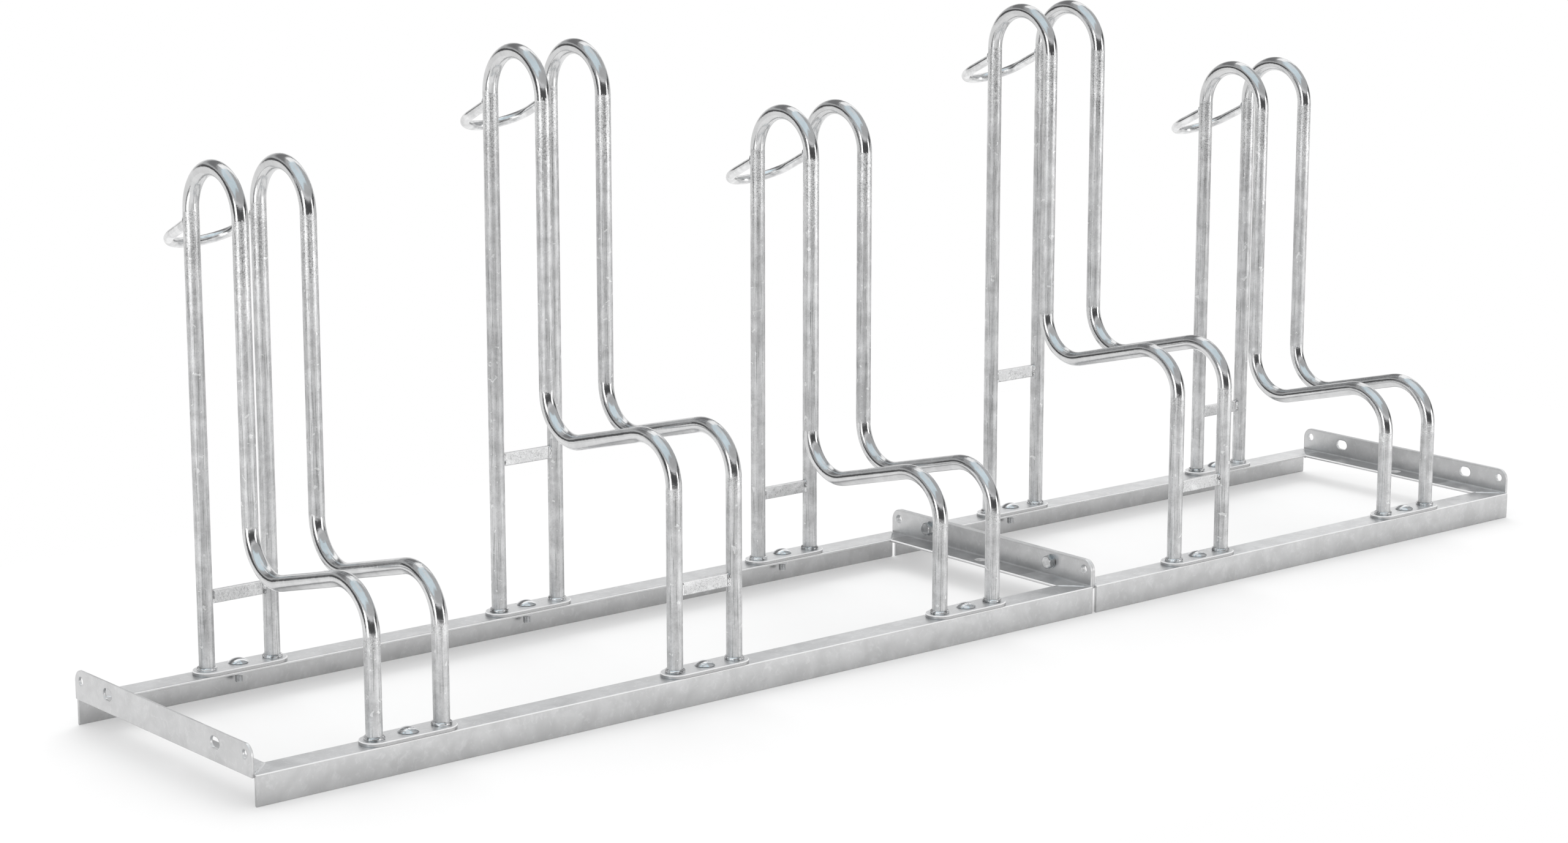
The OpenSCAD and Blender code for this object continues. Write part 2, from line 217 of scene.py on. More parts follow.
class Tree:
    """Adds nodes to one material or world."""

    def __init__(self, owner):
        owner.use_nodes = True
        self.tree = owner.node_tree
        self.tree.nodes.clear()

    def add(self, kind, settings=None, values=None):
        """Adds a node: its settings first, then the values or links of its sockets."""
        node = self.tree.nodes.new(kind)
        for name, value in (settings or {}).items():
            setattr(node, name, value)
        for name, value in (values or {}).items():
            socket = node.inputs[name]
            if isinstance(value, Number):
                value = value.socket
            if isinstance(value, bpy.types.NodeSocket):
                self.tree.links.new(value, socket)
            elif socket.type == "RGBA":
                socket.default_value = (*value, 1)
            else:
                socket.default_value = value
        return node

    def number(self, kind, settings, values):
        """Adds a node and gives its first output as a value for sums."""
        return Number(self, self.add(kind, settings, values).outputs[0])

    def maths(self, operation, *values):
        """Adds one Math node."""
        return self.number("ShaderNodeMath", {"operation": operation}, dict(enumerate(values)))

    def place(self):
        """Where the shaded point lies in the rack's own frame, in metres."""
        return self.add("ShaderNodeTexCoord").outputs["Object"]

    def axes(self, vector):
        """The three parts of a vector."""
        split = self.add("ShaderNodeSeparateXYZ", None, {0: vector})
        return [Number(self, part) for part in split.outputs]

    def noise(self, place, size, detail, roughness, distortion=0.0):
        """Soft noise with grains of one size, or of three sizes along X, Y and Z."""
        sizes = size if isinstance(size, tuple) else (size,) * 3
        per_metre = tuple(1 / each for each in sizes)
        scaled = self.add("ShaderNodeVectorMath", {"operation": "MULTIPLY"}, {0: place, 1: per_metre})
        return self.number("ShaderNodeTexNoise", {"noise_dimensions": "3D"}, {
            "Vector": scaled.outputs[0], "Scale": 1.0, "Detail": detail,
            "Roughness": roughness, "Distortion": distortion})

    def blend(self, factor, first, second):
        """Mixes two colours by a value."""
        node = self.add("ShaderNodeMix", {"data_type": "RGBA"}, {"Factor": factor, 6: first, 7: second})
        return node.outputs[2]

    def shade(self, colour, value):
        """Brightens or darkens a colour by a value."""
        node = self.add("ShaderNodeVectorMath", {"operation": "SCALE"}, {0: colour, "Scale": value})
        return node.outputs[0]

    def edges(self, radius):
        """Softened normal near a bar's edges, and a value that is 1 between a side and its top, where a
        painted highlight goes.
        """
        soft = self.add("ShaderNodeBevel", {"samples": BEVEL_SAMPLES}, {"Radius": radius}).outputs[0]
        return soft, self.axes(soft)[2].band(0.06, 0.18, 0.9, 0.97)

    def metal(self, colour, roughness, height, depth, metallic=1.0, normal=None):
        """Finishes the material as metal with its unevenness."""
        relief = {"Strength": 1.0, "Distance": depth, "Height": height}
        if normal:
            relief["Normal"] = normal
        skin = self.add("ShaderNodeBsdfPrincipled", None, {
            "Base Color": colour, "Metallic": metallic, "Roughness": roughness,
            "Normal": self.add("ShaderNodeBump", None, relief).outputs[0]})
        self.add("ShaderNodeOutputMaterial", None, {"Surface": skin.outputs[0]})


def start_finish(name):
    """Starts a metal finish: the properties, the new material, its tree and the shaded place."""
    material = bpy.data.materials.new(name)
    t = Tree(material)
    return bpy.context.scene.rack_finish, material, t, t.place()


def between(first, second, share):
    """Colour that lies by a share between two colours."""
    return tuple(a + (b - a) * share for a, b in zip(first, second))


# Sizes and colours that a user would change


def colour_property(name, description, default):
    return FloatVectorProperty(
        name=name, description=description, default=default, subtype="COLOR", min=0, max=1)


def length_property(name, description, default):
    return FloatProperty(
        name=name, description=description, default=default, unit="LENGTH", min=0, precision=4)


def share_property(name, description, default):
    return FloatProperty(
        name=name, description=description, default=default, subtype="FACTOR", min=0, max=1)


def strength_property(name, description, default):
    return FloatProperty(name=name, description=description, default=default, min=0)


def angle_property(name, description, default):
    return FloatProperty(
        name=name, description=description, default=default, subtype="ANGLE", unit="ROTATION")


def direction_property(name, description, default):
    return FloatVectorProperty(
        name=name, description=description, default=default, subtype="DIRECTION")


class RackFinish(bpy.types.PropertyGroup):
    zinc: colour_property(
        "Zinc", "Colour of the dipped zinc on bars, rails and bends", (0.6, 0.602, 0.605))
    pale_zinc: colour_property(
        "Pale zinc", "Colour of the pale patches in that zinc", (0.86, 0.862, 0.865))
    tube_zinc: colour_property(
        "Tube zinc", "Colour of the zinc on the tubes' straight stretches", (0.68, 0.682, 0.685))
    pale_tube_zinc: colour_property(
        "Pale tube zinc", "Colour of the pale clouds on those stretches", (0.8, 0.802, 0.805))
    # Painted highlight: this white stands in for the light that the bars' edges catch. On the tubes it
    # also colours the pale patches and grains
    pale_marks_and_edge_highlight: colour_property(
        "Bright zinc", "Colour of the zinc where it is thick on edges", (1.0, 1.0, 1.0))
    dull_zinc: colour_property(
        "Dull zinc", "Colour of the darker zinc in streaks and hollows", (0.26, 0.262, 0.265))
    plated: colour_property(
        "Plated", "Colour of the domed bolts", (0.66, 0.67, 0.68))
    dark_plated: colour_property(
        "Dark plated", "Colour of the hexagon bolts, nuts and washers", (0.42, 0.425, 0.43))

    streak_w: length_property("Streak width", "Width of the drawn streaks along the tubes", 1.1 * MM)
    streak_l: length_property("Streak length", "Length of those streaks", 60 * MM)
    grain: length_property("Grain", "Size of the fine grain on the straight tubes", 1.6 * MM)
    patch: length_property("Patches", "Size of the pale patches on the tubes", 8 * MM)
    tooth_w: length_property("Tooth width", "Width of the teeth where the grain ends", 1.3 * MM)
    tooth_l: length_property("Tooth length", "Length of those teeth", 9 * MM)
    ragged: length_property("Raggedness", "How far that border wanders along a tube", 14 * MM)
    border: length_property("Border", "Width over which the grain ends", 0.8 * MM)
    cloud: length_property("Clouds", "Size of the soft clouds on the rails", 24 * MM)
    crystal: length_property("Crystals", "Size of the feathered crystals on the flat bars", 6 * MM)
    run: length_property("Runs", "Size of the soft runs on the lock loops", 14 * MM)
    pool: length_property("Pools", "Size of the pools in the zinc over the welds", 6 * MM)
    smear: length_property("Smears", "Size of the smears in the plating", 5 * MM)
    # Also the width of the band on the bars' edges where a highlight is painted
    edge_r: length_property("Edges", "Radius of the zinc over the bars' edges", 1.5 * MM)

    streak_dark: share_property("Streaks", "How dark the drawn streaks are", 0.6)
    mottle_dark: share_property("Mottle", "How dark the hollows on the tubes are", 0.2)
    grain_mark: share_property("Grain marks", "How strongly the grain shows all along the tubes", 0.15)
    sparkle_dark: share_property("Dark sparkle", "How much darker grains get below the bends", 0.25)
    sparkle_pale: share_property("Pale sparkle", "How much paler grains get below the bends", 0.5)
    patch_pale: share_property("Patch paleness", "How pale the patches on the tubes are", 0.6)
    cloud_pale: share_property("Cloud paleness", "How pale the clouds on the rails are", 0.35)
    spot_pale: share_property("Spot paleness", "How pale the spots on the rails are", 0.32)
    # The crystals' strength also weakens the painted shade on the flat bars' sides
    foot_feathers: share_property("Foot crystals", "Strength of the crystals on the foot plates", 0.3)
    tie_feathers: share_property("Tie crystals", "Strength of the crystals on the tie bars", 1.0)

    bend_rough: share_property("Bend roughness", "Least roughness in the tubes' bends", 0.12)
    straight_rough: share_property("Straight roughness", "How much rougher straight tubes are", 0.37)
    angle_rough: share_property("Rail roughness", "Least roughness of the rails", 0.26)
    flat_rough: share_property("Flat roughness", "Least roughness of the flat bars", 0.26)
    rod_rough: share_property("Loop roughness", "Least roughness of the lock loops", 0.14)
    weld_rough: share_property("Weld roughness", "Least roughness of the weld beads", 0.2)
    plated_rough: share_property("Plating roughness", "Least roughness of the plating", 0.1)

    tube_relief: length_property("Tube relief", "Depth of the unevenness on the tubes", 0.3 * MM)
    angle_relief: length_property("Rail relief", "Depth of the unevenness on the rails", 0.08 * MM)
    flat_relief: length_property("Flat relief", "Depth of the unevenness on the flat bars", 0.12 * MM)
    rod_relief: length_property("Loop relief", "Depth of the unevenness on the lock loops", 0.2 * MM)
    weld_relief: length_property("Weld relief", "Depth of the unevenness on the welds", 0.15 * MM)
    plated_relief: length_property("Plating relief", "Depth of the unevenness in the plating", 0.04 * MM)


class RackBeads(bpy.types.PropertyGroup):
    collar_r: length_property("Collar", "Radius of the beads round the tubes' feet", 2.1 * MM)
    collar_rise: length_property("Collar rise", "Height of their middle above the foot", 1.4 * MM)
    collar_out: length_property("Collar distance", "Distance of their middle from the tube", 0.2 * MM)
    tie_r: length_property("Tie bead", "Radius of the beads at the ends of the tie bars", 2.1 * MM)
    root_r: length_property("Root bead", "Radius of the beads at the lock loops' roots", 1.5 * MM)
    mitre_r: length_property("Mitre bead", "Radius of the beads on the mitred corners", 2.6 * MM)
    mitre_proud: length_property("Mitre height", "Height of those beads over the rails", 0.7 * MM)
    mitre_start: length_property("Mitre start", "How far in from the corner's sides they start", 7 * MM)
    mitre_end: length_property("Mitre end", "How far in from the corner's sides they end", 29 * MM)
    ripple: length_property("Ripple", "Length of one ripple along a bead", 4 * MM)
    ripple_depth: share_property("Ripple depth", "Depth of the ripples as a share of the bead", 0.09)
    mitre_ripple: share_property("Mitre ripple", "Depth of the ripples on the dressed mitre beads", 0.01)


class RackBolts(bpy.types.PropertyGroup):
    thread_r: length_property("Thread radius", "Outer radius of the bolts' threads", 4 * MM)
    thread_pitch: length_property("Thread pitch", "Pitch of the bolts' threads", 1.25 * MM)
    thread_depth: length_property("Thread depth", "Depth of the bolts' threads", 0.65 * MM)
    point: length_property("Point", "Length of the chamfer on the bolts' ends", 0.9 * MM)
    rim: length_property("Rim", "Height of the round edge of the domed heads", 0.7 * MM)
    neck_w: length_property("Neck width", "Width of the square necks", 8 * MM)
    neck_l: length_property("Neck length", "Length of the square necks", 4 * MM)


class RackStudio(bpy.types.PropertyGroup):
    camera_place: FloatVectorProperty(
        name="Camera", description="Place of the camera", default=(-2.3915, -2.7694, 0.9748),
        subtype="XYZ", unit="LENGTH")
    camera_turn: angle_property("Turn", "Turn of the camera from the rack's depth", math.radians(39.613))
    camera_tilt: angle_property("Tilt", "Tilt of the camera below the horizon", math.radians(11.898))
    lens: FloatProperty(
        name="Lens", description="Focal length on a sensor 36 mm wide",
        default=79.38, min=1, unit="CAMERA")
    floor_margin: length_property("Floor", "How far the pale floor reaches round the rack", 0.55)
    floor_paint: share_property("Floor paint", "How much light the floor throws back", 0.57)
    floor_glow: share_property("Floor glow", "What makes the floor look white without more light", 0.36)
    room_light: strength_property("Room light", "Strength of the even light from the room", 0.95)
    sun_light: strength_property("Soft light", "Strength of the soft light from above", 1.1)
    sun_spread: angle_property("Spread", "Angle over which the soft light spreads", math.radians(50))
    sun_turn: FloatVectorProperty(
        name="Light turn", description="Turn of the soft light, which falls from the back right",
        default=(math.radians(-30), math.radians(30), 0), subtype="EULER", unit="ROTATION")
    wall: colour_property("Wall", "Colour that the metal mirrors from low down", (0.94, 0.94, 0.94))
    gap: colour_property("Gap", "Colour of the dark band over the wall", (0.08, 0.08, 0.082))
    ceiling: colour_property(
        "Ceiling", "Colour that the metal mirrors from high up", (0.54, 0.545, 0.55))
    back_ceiling: colour_property(
        "Back ceiling", "Colour of the ceiling behind the rack", (0.22, 0.22, 0.225))
    front_ceiling: colour_property(
        "Front ceiling", "Colour of the ceiling at the front", (0.82, 0.82, 0.83))
    skylight: colour_property("Skylight", "Colour of the skylight in the ceiling", (0.8, 0.93, 1.0))
    overhead: colour_property("Overhead", "Colour of the skylight straight overhead", (0.88, 0.92, 0.95))
    blind_light: strength_property("Blind", "Brightness of the white blind behind the skylight", 1.3)
    lamp_light: strength_property("Lamps", "Brightness of the upright lamps in the metal", 2.4)
    front: direction_property(
        "Front", "Level direction from the rack to the dark side of the room", (-0.64, -0.77, 0))
    left_lamp: direction_property(
        "Left lamp", "Level direction of the first upright lamp", (-0.98, -0.2, 0))
    right_lamp: direction_property(
        "Right lamp", "Level direction of the second upright lamp", (0.56, -0.83, 0))
    post: direction_property(
        "Post", "Level direction of a dark post beside the first lamp", (-0.97, 0.235, 0))


# Finishes


def straight_stretches(t, finish, place, lift):
    """Two values: 1 on a tube's straight stretches, and how much they sparkle, most below a bend."""
    y, z = t.axes(place)[1:]
    z = z - lift
    border = finish.border
    teeth = t.noise(place, (finish.tooth_w, finish.tooth_w, finish.tooth_l), 2, 0.6)
    ragged = z + (teeth - 0.5) * finish.ragged
    front_leg = (y - FRONT_LEG_Y).ramp(TUBE_R, TUBE_R + border, 1, 0)
    front_leg = front_leg * ragged.ramp(FRONT_LEG_TOP, FRONT_LEG_TOP + border, 1, 0)
    under_arch = ragged.ramp(ARCH_LEG_TOP, ARCH_LEG_TOP + border, 1, 0)
    arch_leg = (y - ARCH_Y).ramp(-TUBE_R - ARCH_LEG_FADE, -TUBE_R)
    arch_leg = arch_leg * ragged.ramp(ARCH_LEG_FOOT, ARCH_LEG_FOOT + border) * under_arch
    back_leg = (y - BACK_LEG_Y).ramp(-TUBE_R - border, -TUBE_R) * under_arch
    straight = front_leg.most(arch_leg).most(back_leg)
    near_arch = z.ramp(ARCH_LEG_TOP - SPARKLE_REACH, ARCH_LEG_TOP - SPARKLE_FULL, SPARKLE_LEAST, 1)
    near_run = z.ramp(FRONT_LEG_TOP - FRONT_SPARKLE_REACH, FRONT_LEG_TOP, SPARKLE_LEAST, 1)
    return straight, (straight * near_arch).most(front_leg * near_run)


def tube_finish(name, lift):
    """Zinc on a bent tube: streaks and grain where it is straight, smooth and bright in the bends."""
    finish, material, t, place = start_finish(name)
    straight, sparkle = straight_stretches(t, finish, place, lift)
    streaks = t.noise(place, (finish.streak_w, finish.streak_w, finish.streak_l), 3, 0.6)
    dashes = t.noise(place, (finish.streak_w, finish.streak_w, 3 * finish.streak_w), 2, 0.65)
    grain = t.noise(place, finish.grain, 3, 0.75)
    patches = t.noise(place, finish.patch, 2, 0.6, 0.5)
    mottle = t.noise(place, 3 * finish.patch, 4, 0.65, 0.3)

    dark = streaks.ramp(0.46, 0.34) * finish.streak_dark
    dark = dark + mottle.ramp(0.5, 0.36) * finish.mottle_dark
    dark = dark + grain.ramp(0.46, 0.36) * (finish.grain_mark + sparkle * finish.sparkle_dark)
    pale = patches.ramp(0.66, 0.69) * finish.patch_pale + dashes.ramp(0.64, 0.7) * sparkle
    pale = pale + grain.ramp(0.58, 0.66) * (finish.grain_mark + sparkle * finish.sparkle_pale)
    worn = t.blend(mottle.ramp(0.45, 0.65), finish.tube_zinc, finish.pale_tube_zinc)
    worn = t.blend(dark, worn, finish.dull_zinc)
    worn = t.blend(pale.least(1.0), worn, finish.pale_marks_and_edge_highlight)
    smooth = t.blend(mottle.ramp(0.3, 0.7) * 0.4, finish.zinc, finish.pale_zinc)

    rougher = finish.straight_rough + 0.12 * patches - sparkle * 0.09
    roughness = finish.bend_rough + 0.05 * mottle + straight * rougher
    roughness = roughness - sparkle * grain.ramp(0.6, 0.42) * 0.3
    height = straight * (0.25 * streaks + 0.3 * patches) + (straight * 0.15 + sparkle * 0.85) * grain
    height = height + (1 - straight) * (mottle + 0.12 * patches + 0.11 * grain)
    t.metal(t.blend(straight, smooth, worn), roughness, height, finish.tube_relief)
    return material


def angle_finish():
    """Zinc on the angle bars: pale and even, with soft clouds and small spots, painted highlights on the
    edges, painted shade low down and painted light on the rails' tops.
    """
    finish, material, t, place = start_finish("galvanised_angle")
    y, z = t.axes(place)[1:]
    clouds = t.noise(place, finish.cloud, 4, 0.55, 0.4)
    spots = t.noise(place, 0.25 * finish.cloud, 3, 0.6, 0.8)
    grain = t.noise(place, finish.grain, 2, 0.6)
    skin = t.blend(clouds.ramp(0.3, 0.7) * finish.cloud_pale, finish.zinc, finish.pale_zinc)
    skin = t.blend(spots.ramp(0.5, 0.74) * finish.spot_pale, skin, finish.pale_zinc)

    # Painted edge highlights: none in an end angle's inner corner, which is no edge, and fainter on the
    # edges above the rails
    soft, edge = t.edges(finish.edge_r)
    inner_corner = z.band(RAIL_TOP, RAIL_TOP + CORNER_LOW, RAIL_TOP + CORNER_HIGH, RAIL_TOP + CORNER_END)
    edge = edge * (1 - inner_corner) * z.ramp(RAIL_TOP, RAIL_TOP + FAINT_HIGHLIGHT_H, 1, 0.5)

    # Painted shade: the standing legs get darker toward the floor. Painted light: the rails' tops are
    # lighter
    low = z.ramp(0.0, RAIL_TOP, 0.76, 0.97)
    painted_top_light = t.axes(soft)[2].ramp(0.7, 1) * abs(y).ramp(RAIL_INNER_Y, RAIL_INNER_Y + RAIL_TOP_LIGHT_FADE)
    skin = t.blend(edge, t.shade(skin, low + 0.3 * painted_top_light), finish.pale_marks_and_edge_highlight)
    roughness = finish.angle_rough + 0.12 * clouds + 0.06 * grain
    height = clouds + 0.5 * spots + 0.1 * grain
    # The painted edge highlights are not metal, so the room's even light makes them white
    t.metal(skin, roughness, height, finish.angle_relief, 0.92 * (1 - edge), soft)
    return material


def flat_finish(name, crystals_and_side_light):
    """Zinc on the flat bars: veined crystals as strong as the given strength, painted highlights on the
    edges, painted light on the tops and painted shade on the sides, which that strength weakens.
    """
    finish, material, t, place = start_finish(name)
    crystals = t.noise(place, finish.crystal, 4, 0.6, 2.2)
    feather = t.noise(place, 0.3 * finish.crystal, 3, 0.6, 1.2)
    patches = t.noise(place, 2.5 * finish.crystal, 3, 0.5, 0.4)
    veins = abs(crystals - 0.5).ramp(0.03, 0.0)
    dark = crystals.ramp(0.48, 0.34) * 0.4 + feather.ramp(0.48, 0.32) * 0.35
    pale = patches.ramp(0.52, 0.66) * 0.4 + veins * 0.7
    plain = between(finish.zinc, finish.pale_zinc, 0.5 * (1 - crystals_and_side_light))
    skin = t.blend(dark * crystals_and_side_light, plain, finish.dull_zinc)
    skin = t.blend(pale.least(1.0) * crystals_and_side_light, skin, finish.pale_zinc)
    # Painted highlights on the edges, painted shade on the sides and painted light on the tops, all from
    # the softened normal
    soft, edge = t.edges(finish.edge_r)
    side = t.axes(soft)[2].ramp(0.1, 0.9, 0.6 + 0.4 * crystals_and_side_light, 1.2)
    skin = t.blend(edge, t.shade(skin, side), finish.pale_marks_and_edge_highlight)
    roughness = finish.flat_rough + 0.14 * crystals
    height = (crystals + feather * 0.4) * crystals_and_side_light + patches * 0.5
    # The painted edge highlights are not metal, so the room's even light makes them white
    t.metal(skin, roughness, height, finish.flat_relief, 0.85 * (1 - edge), soft)
    return material


def rod_finish():
    """Zinc on the lock loops: smooth, with a few soft runs."""
    finish, material, t, place = start_finish("galvanised_rod")
    runs = t.noise(place, finish.run, 4, 0.6, 0.5)
    grain = t.noise(place, finish.grain, 2, 0.6)
    skin = t.blend(runs.ramp(0.3, 0.7), finish.zinc, finish.pale_zinc)
    t.metal(skin, finish.rod_rough + 0.12 * runs, runs + grain * 0.08, finish.rod_relief)
    return material


def weld_finish():
    """Zinc over the weld beads: bright pools, duller between them."""
    finish, material, t, place = start_finish("galvanised_weld")
    pools = t.noise(place, finish.pool, 2, 0.45, 0.5)
    grain = t.noise(place, finish.grain, 2, 0.6)
    skin = t.blend(pools.ramp(0.32, 0.6), finish.dull_zinc, finish.pale_zinc)
    t.metal(skin, finish.weld_rough + 0.14 * pools, pools + grain * 0.1, finish.weld_relief)
    return material


def plated_finish(name, colour):
    """Bright plating on the bolts, nuts and washers."""
    finish, material, t, place = start_finish(name)
    smears = t.noise(place, finish.smear, 3, 0.6, 0.3)
    grain = t.noise(place, 0.5 * finish.grain, 2, 0.6)
    skin = t.blend(smears.ramp(0.3, 0.7) * 0.4, colour, finish.pale_zinc)
    t.metal(skin, finish.plated_rough + 0.08 * smears, grain * 0.2 + smears, finish.plated_relief)
    return material


def wear(nodes, material):
    """Gives CAD nodes a finish in every material slot."""
    for name in nodes:
        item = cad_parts[name]
        if not item.material_slots:
            item.data.materials.append(None)
        for material_slot in item.material_slots:
            material_slot.material = material


# Meshes


def turns(count):
    """Angles of equal steps round a circle."""
    return [2 * math.pi * i / count for i in range(count)]


def finished_piece(name, bm, material, replaced):
    """Makes built faces into a piece that rides the rack in place of CAD nodes."""
    bmesh.ops.recalc_face_normals(bm, faces=bm.faces)
    mesh = bpy.data.meshes.new(name)
    bm.to_mesh(mesh)
    bm.free()
    mesh.polygons.foreach_set("use_smooth", [True] * len(mesh.polygons))
    mesh.set_sharp_from_angle(angle=SHARP_ANGLE)
    mesh.materials.append(material)
    piece = bpy.data.objects.new(name, mesh)
    bpy.context.scene.collection.objects.link(piece)
    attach(piece, BODY)
    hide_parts(*replaced)


def skin_rings(bm, rings, closed=False):
    """Joins rings of points with faces. A closed run goes round, and an open one gets capped ends."""
    made = [[bm.verts.new(point) for point in ring] for ring in rings]
    pairs = list(zip(made, made[1:]))
    if closed:
        pairs.append((made[-1], made[0]))
    for first, second in pairs:
        for i in range(len(first)):
            j = (i + 1) % len(first)
            bm.faces.new((first[i], first[j], second[j], second[i]))
    if not closed:
        bm.faces.new(made[0])
        bm.faces.new(reversed(made[-1]))


def add_bead(bm, path, radius, across, ripple_depth, closed=False, sides=BEAD_SIDES):
    """Rippled bead along a path of close points. Across is a direction that is never along the path."""
    lengths = [0.0]
    for a, b in zip(path, path[1:]):
        lengths.append(lengths[-1] + (b - a).length)
    whole = lengths[-1] + ((path[0] - path[-1]).length if closed else 0)
    ripples = max(1, round(whole / bpy.context.scene.rack_beads.ripple))
    rings = []
    for i, point in enumerate(path):
        before = path[i - 1] if closed or i > 0 else point
        after = path[(i + 1) % len(path)] if closed or i < len(path) - 1 else point
        along = (after - before).normalized()
        side = along.cross(across).normalized()
        out = side.cross(along)
        share = lengths[i] / whole
        drift = RIPPLE_DRIFT * math.sin(4 * math.pi * share)
        wave = abs(math.sin(math.pi * ripples * share + drift))
        swell = SWELL * math.sin(6 * math.pi * share + 1)
        r = radius * (1 - ripple_depth * (1 - wave) + swell)
        if not closed:
            near = min(lengths[i], whole - lengths[i]) / radius
            r *= math.sqrt(1 - (1 - min(near, 1)) ** 2 * END_TAPER)
        rings.append([point + (side * math.cos(a) + out * math.sin(a)) * r for a in turns(sides)])
    skin_rings(bm, rings, closed)


def straight_path(start, end):
    """Close points from start to end."""
    count = max(4, round((end - start).length / BEAD_STEP))
    return [start.lerp(end, i / count) for i in range(count + 1)]


def add_collar(bm, x, y):
    """Bead round the foot of a tube."""
    beads = bpy.context.scene.rack_beads
    r = TUBE_R + beads.collar_out
    z = FOOT_TOP + beads.collar_rise
    path = [Vector((x + r * math.cos(a), y + r * math.sin(a), z)) for a in turns(COLLAR_STEPS)]
    add_bead(bm, path, beads.collar_r, UP, beads.ripple_depth, closed=True)


def add_tie_beads(bm, node, left_x, right_x):
    """Upright beads in the four corners between a tie bar and its tubes."""
    beads = bpy.context.scene.rack_beads
    low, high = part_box(node)
    y = (low.y + high.y) / 2
    half = (high.y - low.y) / 2
    reach = math.sqrt(TUBE_R ** 2 - half ** 2)
    for x, inward in ((left_x, 1), (right_x, -1)):
        for face in (-1, 1):
            corner = Vector((x + inward * reach, y + face * half, low.z))
            path = straight_path(corner, corner + UP * (high.z - low.z))
            add_bead(bm, path, beads.tie_r, BACKWARD, beads.ripple_depth)


def add_root_bead(bm, node, x):
    """Bead where a lock loop's bar meets a tube, along the line in which their surfaces cross."""
    beads = bpy.context.scene.rack_beads
    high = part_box(node)[1]
    root = Vector((x, BACK_LEG_Y, high.z - LOOP_ROOT_OVER))
    along = Vector((0, math.cos(LOOP_SLOPE), -math.sin(LOOP_SLOPE)))
    rise = Vector((0, math.sin(LOOP_SLOPE), math.cos(LOOP_SLOPE)))
    path = []
    for a in turns(ROOT_STEPS):
        aside = LOOP_R * math.cos(a)
        up = LOOP_R * math.sin(a)
        depth = math.sqrt(TUBE_R ** 2 - aside ** 2)
        forward = (depth - up * rise.y) / along.y
        path.append(root + Vector((aside, 0, 0)) + rise * up + along * forward)
    add_bead(bm, path, beads.root_r, along, beads.ripple_depth, closed=True, sides=ROOT_BEAD_SIDES)


def add_shank(bm, top, length):
    """Bolt shank down from its top, with a thread cut round it and a chamfered end."""
    bolts = bpy.context.scene.rack_bolts
    turn = UP.rotation_difference(-UP).to_matrix()
    steps = round(length / bolts.thread_pitch * STEPS_PER_THREAD)
    rings = []
    for i in range(steps + 1):
        z = length * i / steps
        chamfered = bolts.thread_r - max(0.0, z - length + bolts.point)
        ring = []
        for k, a in enumerate(turns(SHANK_SIDES)):
            phase = (z / bolts.thread_pitch - k / SHANK_SIDES) % 1
            cut = bolts.thread_depth * (1 - abs(2 * phase - 1))
            out = min(bolts.thread_r - cut, chamfered)
            ring.append(top + turn @ Vector((out * math.cos(a), out * math.sin(a), z)))
        rings.append(ring)
    skin_rings(bm, rings)


def add_neck(bm, top):
    """Square neck down from the underside of a domed head."""
    bolts = bpy.context.scene.rack_bolts
    half = bolts.neck_w / 2
    rings = [[top + Vector((half * i, half * j, z)) for i, j in SQUARE] for z in (0, -bolts.neck_l)]
    skin_rings(bm, rings)


def add_dome(bm, base, head_r, head_h):
    """Domed bolt head on its base, with a round undercut rim."""
    rim = bpy.context.scene.rack_bolts.rim
    dome_h = head_h - rim
    sphere_r = (head_r ** 2 + dome_h ** 2) / (2 * dome_h)
    reach = math.asin(head_r / sphere_r)
    outline = [(head_r - rim, 0.0), (head_r - 0.2 * rim, 0.6 * rim)]
    for i in range(DOME_STEPS + 1):
        a = reach * (1 - i / DOME_STEPS)
        r = max(sphere_r * math.sin(a), DOME_TIP_R)
        outline.append((r, head_h - sphere_r * (1 - math.cos(a))))
    rings = []
    for r, z in outline:
        rings.append([base + Vector((r * math.cos(a), r * math.sin(a), z)) for a in turns(DOME_SIDES)])
    skin_rings(bm, rings)


